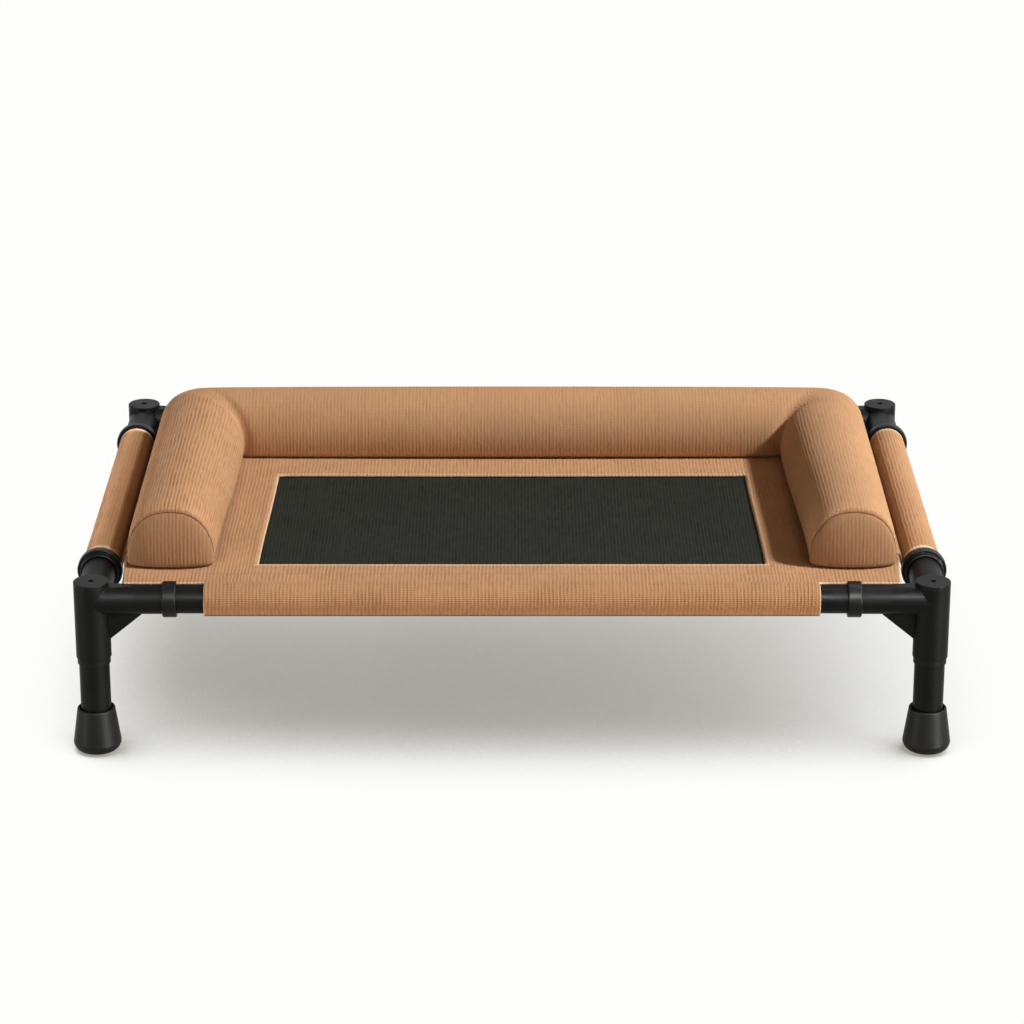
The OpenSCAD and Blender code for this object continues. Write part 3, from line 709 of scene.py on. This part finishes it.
# %% [markdown]
# ## Bolster
#
# The bolster is a long cloth tube stuffed with loose fibre, flat where it rests on the deck, mitred at the
# two back corners and closed by a domed panel at each front end. Three cylinders would meet in hard lines.
# Here one D-shaped section is led round the U: a line near the inside turns the corner sharply and makes
# the crease, and a line near the outside turns it in a wide bend. The arms fill out towards the back, where
# both rolls are stuffed against each other.

# %% Section of the bolster
ROLL_R, ROLL_LIFT = 49.0, 20.0
# Points over the arch, and how far out each point of the base lies, as a share of its half width.
ARCH = 53
SHRINK = [0.98, 0.94, 0.88, 0.8, 0.7, 0.58, 0.44, 0.3, 0.15]
BASE = SHRINK + [0] + [-q for q in SHRINK[::-1]]
# The section lies between a circle and a squarer arch with upright sides.
UPRIGHT, SQUARENESS, FLAT_SIDE = 0.4, 0.84, 0.97
# The last few millimetres tuck under, where the cover is sewn to the deck.
FOOT_TUCK, TUCK_RISE = 0.09, 4
FOOT_CROWD = 0.7


def crowd(t, amount):
    """An evenly spaced share from 0 to 1, moved closer to its neighbours at both ends."""
    return t - amount * math.sin(2 * math.pi * t) / (2 * math.pi)


def tuck(lift):
    """1 at the deck and 0 above the tucked foot."""
    return 1 - ease(lift, 0, TUCK_RISE)


def section(radius, rise=1.0, upright=UPRIGHT):
    """Points of the D: over the arch from the inner foot to the outer foot, then back along the base."""
    foot = math.asin(ROLL_LIFT / radius)
    arch = []
    for even in np.linspace(0, 1, ARCH):
        t = crowd(even, FOOT_CROWD)
        a, b = math.pi * t, -foot + (math.pi + 2 * foot) * t
        round_spot = (-radius * math.cos(b), ROLL_LIFT + radius * math.sin(b))
        wide, high = (math.copysign(abs(f(a)) ** SQUARENESS, f(a)) for f in (math.cos, math.sin))
        upright_spot = (-FLAT_SIDE * radius * wide, (radius + ROLL_LIFT) * rise * high)
        out, lift = (r + (u - r) * upright for r, u in zip(round_spot, upright_spot))
        arch.append((out * (1 - FOOT_TUCK * tuck(lift)), max(0.0, lift)))
    return arch + [(arch[-1][0] * q, 0.0) for q in BASE]


outline = section(ROLL_R)
print("section:", len(outline), "points, base", round(2 * outline[ARCH - 1][0]), "mm wide")

# %% How the section changes along the U
ARM_X, BACK_Y = 360.0, 145.0
# The seam of an end panel: its place, its outline, how far back the roll is full again, and its groove.
SEAM_Y, SEAM_R, SEAM_RISE, SEAM_RUN, SEAM_GROOVE = -235.0, 47.8, 0.87, 30, 0.3
# A back corner: the bend of its innermost line, how much wider the outermost one is, and how that grows.
BEND_INSIDE, BEND_MORE, BEND_POWER = 2.5, 38, 1.3
# How deep the mitre is drawn in, how far along, and over which distances inside the roll's axis.
PINCH, PINCH_RUN, PINCH_INSIDE = 1.8, 5, (-6, 40)
# How much fuller an arm is at the back, and the share of its length where that starts.
FULLER, FULLER_FROM = 0.17, 0.05
# Painted shade where the bolster meets the deck, and the heights where it starts and is full.
FOLD_SHADE, FOLD_RISE = 0.7, (4, 0.5)
SMALLER = 1.5
START_R = ROLL_R - SMALLER


def bend_radius(out):
    """How widely a line at this distance outside the roll's axis turns the back corner."""
    return BEND_INSIDE + BEND_MORE * min(1, max(0, (out + ROLL_R) / (2 * ROLL_R))) ** BEND_POWER


def arm_section(step):
    """The roll's section along an arm: drawn in to the lower, squarer outline of the end panel."""
    t = min(1.0, step / SEAM_RUN)
    full = math.sqrt(1 - (1 - t) ** 2)
    groove = SEAM_GROOVE if step < TOUCH else 0.0
    radius = SEAM_R + (START_R - SEAM_R) * full - groove
    return section(radius, SEAM_RISE + (1 - SEAM_RISE) * full, 1 - (1 - UPRIGHT) * full)


def pinched(out, lift, away):
    """Draws a point in towards the roll's axis near the mitre, most at the inner side and not at the top."""
    inner = ease(-out, *PINCH_INSIDE) * (1 if lift > 0.5 else 0)
    keep = 1 - PINCH / ROLL_R * inner * math.exp(-(away / PINCH_RUN) ** 2)
    return out * keep, ROLL_LIFT + (lift - ROLL_LIFT) * keep


def widened(out, share):
    """The inner half of an arm is fuller towards the back."""
    return out * (1 + FULLER * share) if out < 0 else out


def contact_shade(lift):
    """How much painted shade a point gets where bolster meets deck, by its height above the deck."""
    return FOLD_SHADE * ease(lift, *FOLD_RISE)


print("a back corner bends from", bend_radius(-ROLL_R), "to", bend_radius(ROLL_R), "mm")

# %% Lead the section round the U
# Places of the sections behind the seam: close together at the seam and at the mitre.
arm_steps = [0, 0.3, 0.9, 2, 3.6, 5.8, 8.6, 12, 16, 21, 26] + list(np.linspace(33, 355, 46))
arm_steps += [361, 366, 371, 375, 379, 382, 385, 388, 390.5, 393, 395]
arm_length = arm_steps[-1]
# The sections are upright for a while behind the seam. The seam lies a little deep, and painted shade
# darkens it.
EVEN_RUN, SEAM_NUDGE, SEAM_SHADE, SEAM_SHADE_RUN = 26, 0.25, 0.22, 1.5
CORNER, BACK_SECTIONS, BACK_CROWD = 12, 104, 0.8
# The gaps between the ribs are drawn deeper on the left arm than on the right one.
ARM_RIB = {-1: 1.5, 1: 0.56}
# The back roll's rib depth, how much weft shows, and its share of the painted contact shade.
BACK_RIB, BACK_CROSS, BACK_SHADE = 0.48, 0.04, 0.3
roll = Cloth()
arms = {}
for side in (-1, 1):
    made = []
    for step in arm_steps:
        share = ease(step / arm_length, FULLER_FROM, 1)
        ids = []
        for out, lift in arm_section(step):
            turn = bend_radius(out)
            end = BACK_Y + out - turn
            y = SEAM_Y + step + (end - SEAM_Y - arm_length) * ease(step, EVEN_RUN, arm_length)
            y += SEAM_NUDGE if step == 0 else 0
            out, lift = pinched(out, lift, end - y)
            x = ARM_X + widened(out, share)
            painted_shade = max(contact_shade(lift), SEAM_SHADE if step < SEAM_SHADE_RUN else 0.0)
            ids.append(roll.put((side * x, y, DECK_TOP + lift), painted_shade=painted_shade, rib=ARM_RIB[side]))
        made.append(ids)
    for k in range(1, CORNER + 1):
        angle = math.pi / 2 * k / CORNER
        cross = BACK_CROSS if 2 * k > CORNER else 0.0
        ids = []
        for out, lift in section(START_R):
            turn = bend_radius(out)
            out, lift = pinched(out, lift, 0)
            x = ARM_X + widened(out, 1) - turn + turn * math.cos(angle)
            y = BACK_Y + out - turn + turn * math.sin(angle)
            ids.append(roll.put((side * x, y, DECK_TOP + lift), cross=cross, painted_shade=BACK_SHADE * contact_shade(lift),
                                rib=BACK_RIB))
        made.append(ids)
    arms[side] = made
back = []
for t in np.linspace(0, 1, BACK_SECTIONS)[1:-1]:
    share = crowd(t, BACK_CROWD)
    ids = []
    for out, lift in section(START_R + SMALLER * math.sin(math.pi * share) ** 0.5):
        turn = bend_radius(min(out, START_R))
        reach = ARM_X + widened(out, 1) - turn
        out, lift = pinched(out, lift, reach * 2 * min(share, 1 - share))
        ids.append(roll.put((-reach + 2 * reach * share, BACK_Y + out, DECK_TOP + lift), cross=BACK_CROSS,
                            painted_shade=BACK_SHADE * contact_shade(lift), rib=BACK_RIB))
    back.append(ids)
chain = arms[-1] + back + arms[1][::-1]
print("bolster:", len(chain), "sections,", len(roll.points), "points")

# %% Skin of the bolster
girth = [0.0]
for a, b in zip(outline, outline[1:] + outline[:1]):
    girth.append(girth[-1] + math.dist(a, b))
first_back = len(arms[-1]) - CORNER // 2
last_back = len(chain) - first_back - 1
for s in range(len(chain) - 1):
    # Ribs run from front to back on every piece: along the arms, but over the back roll.
    on_back = first_back <= s < last_back
    for n in range(len(outline)):
        m = (n + 1) % len(outline)
        corners = (chain[s][n], chain[s + 1][n], chain[s + 1][m], chain[s][m])
        bows = (girth[n], girth[n], girth[n + 1], girth[n + 1])
        yarn = [(roll.points[c][0], b) if on_back else (b, roll.points[c][1]) for c, b in zip(corners, bows)]
        roll.face(*corners, yarn=yarn)
print("skin of the rolls:", len(roll.faces), "faces,", round(girth[-1]), "mm round")

# %% End panels
# How far an end panel stands out, how square and how flat its dome is, and how far its foot tucks in.
PANEL_BULGE, PANEL_POWER, PANEL_FLATNESS, PANEL_TUCK = 14.0, 2.4, 0.55, 4.5
PANEL_MIDDLE = DECK_TOP + 30
# The end panels are painted darker all over: painted shade for faces turned away from the lamp.
PANEL_SHADE = 0.28
PANEL_RIB = {-1: 0.76, 1: 0.44}


def panel_face(out, lift):
    """How far back the end panel's face lies: half a dome that stands on the deck."""
    half, height = FLAT_SIDE * SEAM_R * (1 - FOOT_TUCK * tuck(lift)), (SEAM_R + ROLL_LIFT) * SEAM_RISE
    reach = (abs(out) / half) ** PANEL_POWER + (lift / height) ** PANEL_POWER
    dome = (1 - min(1, reach) ** (2 / PANEL_POWER)) ** PANEL_FLATNESS
    return SEAM_Y - PANEL_BULGE * dome + PANEL_TUCK * tuck(lift) * dome


def close_end(rim, side):
    """Closes one front end with its panel, in rings that shrink to the middle, and a flat strip below."""
    def on_panel(x, z):
        lift = z - DECK_TOP
        return roll.put((x, panel_face(x - side * ARM_X, lift), z), painted_shade=max(PANEL_SHADE, contact_shade(lift)),
                        rib=PANEL_RIB[side])

    foot = [on_panel(roll.points[i][0], DECK_TOP) for i in rim[ARCH:]]
    rings = [rim[:ARCH] + foot]
    middle_x = side * ARM_X
    for q in SHRINK:
        ids = []
        for i in rings[0]:
            x, _, z = roll.points[i]
            ids.append(on_panel(middle_x + (x - middle_x) * q, PANEL_MIDDLE + (z - PANEL_MIDDLE) * q))
        rings.append(ids)
    middle = on_panel(middle_x, PANEL_MIDDLE)
    faces = []
    for outer, inner in zip(rings, rings[1:] + [None]):
        for n in range(len(outer)):
            m = (n + 1) % len(outer)
            faces.append([outer[n], outer[m]] + ([inner[m], inner[n]] if inner else [middle]))
    base, foot = rim[ARCH - 1:] + rim[:1], rim[ARCH - 1:ARCH] + foot + rim[:1]
    for n in range(len(base) - 1):
        corners = [base[n], base[n + 1], foot[n + 1], foot[n]]
        faces.append([c for k, c in enumerate(corners) if c not in corners[:k]])
    for corners in faces:
        corners = corners[::side]
        roll.face(*corners, yarn=[(roll.points[c][0], roll.points[c][2]) for c in corners])


close_end(chain[0], -1)
close_end(chain[-1], 1)
bolster = roll.piece("bolster", tan_cloth)
skin_area = sum(p.area for p in bolster.data.polygons)
print("bolster skin:", len(roll.faces), "faces,", round(skin_area, 3), "square metres")

# %% [markdown]
# ## Stuffing
#
# The cover is sewn a little small and the fibre swells it. The Cloth modifier does that with air pressure:
# the foot along the deck, the end panels and the bottom of each mitre are held, and the rest rises until
# the cloth is tight. Each point may move only a few millimetres, so the bolster keeps the CAD part's form.

# %% Swell the bolster
PRESSURE, SWELL_FRAMES, MOST_MM = 4, 20, 3.0
FOOT_POINTS = 7


def swell(piece, held):
    """Inflates a closed skin that is sewn down at the held points, and applies the result."""
    piece.vertex_groups.new(name="sewn").add(held, 1.0, "REPLACE")
    before = np.array([v.co for v in piece.data.vertices])
    cloth = piece.modifiers.new("stuffing", "CLOTH")
    cloth.settings.vertex_group_mass = "sewn"
    cloth.settings.use_pressure = True
    cloth.settings.uniform_pressure_force = PRESSURE
    cloth.settings.effector_weights.gravity = 0
    cloth.collision_settings.use_collision = False
    for number in range(1, SWELL_FRAMES + 1):
        scene.frame_set(number)
    shape = piece.evaluated_get(bpy.context.evaluated_depsgraph_get())
    move = np.array([v.co for v in shape.data.vertices]) - before
    piece.modifiers.remove(cloth)
    scene.frame_set(1)
    length = np.linalg.norm(move, axis=1, keepdims=True)
    move *= np.minimum(1, MOST_MM * MM / np.maximum(length, 1e-9))
    piece.data.vertices.foreach_set("co", (before + move).ravel())
    piece.data.update()
    return length.max() / MM


feet = {i for ids in chain for i in ids[ARCH - FOOT_POINTS:] + ids[:FOOT_POINTS]}
crease = {i for ids in arms[-1][-CORNER:] + arms[1][-CORNER:] for i in ids[:ARCH // 3]}
panels = set(range(sum(len(ids) for ids in chain), len(roll.points)))
seams = {i for ids in (chain[0], chain[1], chain[-2], chain[-1]) for i in ids}
swelled = swell(bolster, sorted(feet | crease | panels | seams))
print("bolster swelled by up to", round(swelled, 1), "mm before the limit")

# %% [markdown]
# ## Stitches
#
# The hem of the window, the seams of the long sleeves and the seams of the end panels are sewn with a tan
# thread. Modelling hundreds of stitches by hand would be slow. A Geometry Nodes tree turns a line of points
# into a row of short threads instead: it walks along the line, sets one thread at each step and makes the
# row a real mesh.

# %% Thread finish
# Twisted polyester thread: a little glossier and paler than the cloth, with fine twist marks.
thread = clouded_finish("twisted_polyester_thread", dark="A2744C", pale="D2A57C", cloud_mm=1.2, detail=1,
                        Roughness=0.6, Specular_IOR_Level=0.3)
print("thread finish:", thread.name)

# %% Stitch tree
stitching = bpy.data.node_groups.new("stitch_row", "GeometryNodeTree")
stitching.interface.new_socket("Line", in_out="INPUT", socket_type="NodeSocketGeometry")
sizes = {name: stitching.interface.new_socket(name, in_out="INPUT", socket_type="NodeSocketFloat").identifier
         for name in ("Pitch", "Length", "Thickness")}
stitching.interface.new_socket("Stitches", in_out="OUTPUT", socket_type="NodeSocketGeometry")
given = add(stitching, "NodeGroupInput").outputs
line = add(stitching, "GeometryNodeMeshToCurve", {0: given["Line"]})
steps = add(stitching, "GeometryNodeResampleCurve", {"Curve": line.outputs[0], "Length": given["Pitch"]},
            mode="LENGTH")
heading = add(stitching, "GeometryNodeInputTangent")
turned = add(stitching, "FunctionNodeAlignRotationToVector", {"Vector": heading.outputs[0]}, axis="X")
one = add(stitching, "GeometryNodeMeshUVSphere", {"Segments": 6, "Rings": 4, "Radius": 0.5})
size = add(stitching, "ShaderNodeCombineXYZ",
           {0: given["Length"], 1: given["Thickness"], 2: given["Thickness"]})
row = add(stitching, "GeometryNodeInstanceOnPoints",
          {"Points": steps.outputs[0], "Instance": one.outputs["Mesh"], "Rotation": turned.outputs[0],
           "Scale": size.outputs[0]})
real = add(stitching, "GeometryNodeRealizeInstances", {0: row.outputs[0]})
smooth = add(stitching, "GeometryNodeSetShadeSmooth", {0: real.outputs[0]})
sewn = add(stitching, "GeometryNodeSetMaterial", {0: smooth.outputs[0], "Material": thread})
add(stitching, "NodeGroupOutput", {0: sewn.outputs[0]})
print("stitch tree:", len(stitching.nodes), "nodes")

# %% Sew
PITCH_MM, LENGTH_MM = 5.2, 3.9
THIN_MM, THICK_MM = 0.55, 0.9
# Distance of the stitches from the window's edge, from a long rail's axis and from a long sleeve's end.
HEM_LINE, SEAM_LINE, END_GAP = 8.0, 27, 2
LINE_STEP, THREAD_LIFT = 20, 0.1


def stitch(name, lines, thick_mm):
    """Rows of stitches along lines of points in metres, as one plain mesh."""
    spots = [p for points in lines for p in points]
    links, start = [], 0
    for points in lines:
        links += [(start + n, start + n + 1) for n in range(len(points) - 1)]
        start += len(points)
    guide = put_in_scene(name + "_guide", bpy.data.meshes.new(name + "_guide"))
    guide.data.from_pydata(spots, links, [])
    row = guide.modifiers.new("stitches", "NODES")
    row.node_group = stitching
    for key, value in (("Pitch", PITCH_MM), ("Length", LENGTH_MM), ("Thickness", thick_mm)):
        row[sizes[key]] = value * MM
    mesh = bpy.data.meshes.new_from_object(guide.evaluated_get(bpy.context.evaluated_depsgraph_get()))
    mesh.name = name
    bpy.data.objects.remove(guide)
    return put_in_scene(name, mesh)


def on_deck(x, y):
    """A point just above the deck's upper face, in metres."""
    px, py, pz = deck_point(x, y)
    return (px * MM, py * MM, (pz + THREAD_LIFT) * MM)


left, right = -WINDOW_X - HEM_LINE, WINDOW_X + HEM_LINE
front, rear = WINDOW_FRONT - HEM_LINE, WINDOW_BACK + HEM_LINE
round_window = [[on_deck(x, y) for x in spread([left, right], LINE_STEP)] for y in (front, rear)]
round_window += [[on_deck(x, y) for y in spread([front, rear], LINE_STEP)] for x in (left, right)]
sleeve_line = spread([-LONG_SLEEVE_END + END_GAP, LONG_SLEEVE_END - END_GAP], LINE_STEP)
along_sleeves = [[on_deck(x, y) for x in sleeve_line] for y in (-HALF_Y + SEAM_LINE, HALF_Y - SEAM_LINE)]
deck_stitches = stitch("deck_stitches", round_window + along_sleeves, THIN_MM)
rims = [[tuple(bolster.data.vertices[i].co) for i in ids[:ARCH]] for ids in (chain[3], chain[-4])]
bolster_stitches = stitch("bolster_stitches", rims, THICK_MM)
print("stitch meshes:", len(deck_stitches.data.polygons), len(bolster_stitches.data.polygons), "faces")

# %% Soft pieces and bodies
for piece, kind in ((deck_cover, "tan_cloth"), (mesh_window, "dark_mesh"), (bolster, "tan_cloth"),
                    (deck_stitches, "tan_cloth"), (bolster_stitches, "tan_cloth")):
    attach(piece, "frame")
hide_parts("deck_border", "front_sleeve", "back_sleeve", "left_sleeve", "right_sleeve")
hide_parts("mesh_panel")
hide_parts("left_bolster_cover", "right_bolster_cover", "back_bolster_cover",
            "left_bolster_end_panel", "right_bolster_end_panel",
            "left_bolster_fill", "right_bolster_fill", "back_bolster_fill")
